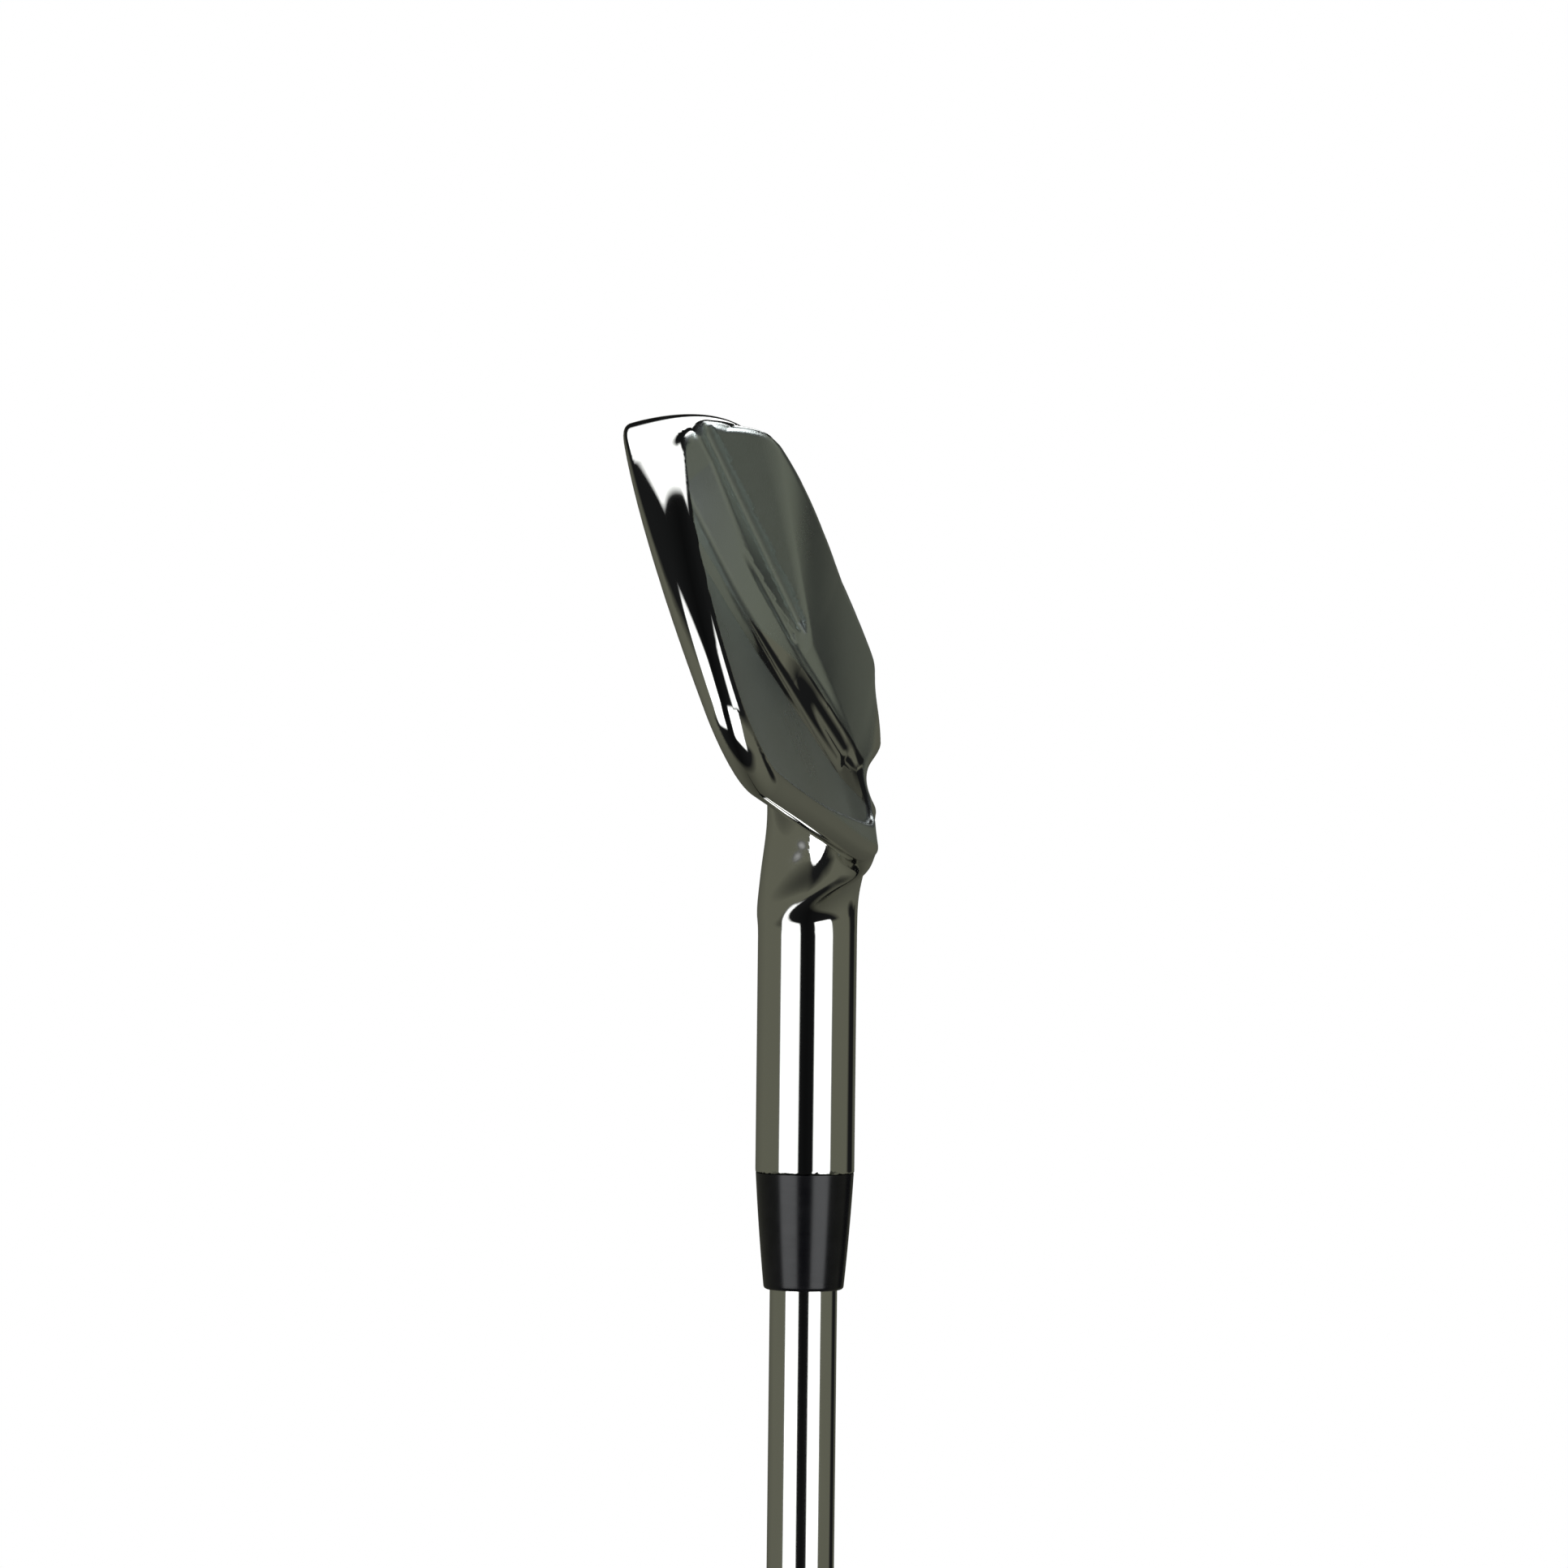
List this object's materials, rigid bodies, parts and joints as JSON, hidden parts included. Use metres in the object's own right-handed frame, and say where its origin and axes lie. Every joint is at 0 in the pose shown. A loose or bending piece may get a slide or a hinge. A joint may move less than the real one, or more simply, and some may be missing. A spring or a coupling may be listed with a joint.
{
  "type": "iron golf club",
  "caption": "Forged chrome iron golf club: muscle-back head with milled cavity, black ferrule, stepped steel shaft and rubber grip.",
  "frame": {"origin": "centre of the grip's butt end, at the mouth of the vent hole", "axes": "+Z along the shaft from the grip towards the head, +X towards the toe, +Y towards the back of the head"},
  "size_m": [0.1009, 0.0396, 0.9822],
  "materials": {
    "head_chrome": "mirror chrome edges, satin back",
    "ferrule_black": "turned and polished",
    "epoxy": "cured resin",
    "shaft_chrome": "polished",
    "weight_brass": "turned",
    "tape": "paper",
    "grip_rubber": "matt, textured",
    "cap_rubber": "matt"
  },
  "bodies": {
    "root": {"forged_head": "head_chrome", "ferrule": "ferrule_black", "hosel_epoxy": "epoxy", "shaft": "shaft_chrome", "tip_weight": "weight_brass", "grip_tape": "tape", "grip_sleeve": "grip_rubber", "grip_cap": "cap_rubber"}
  },
  "joints": []
}
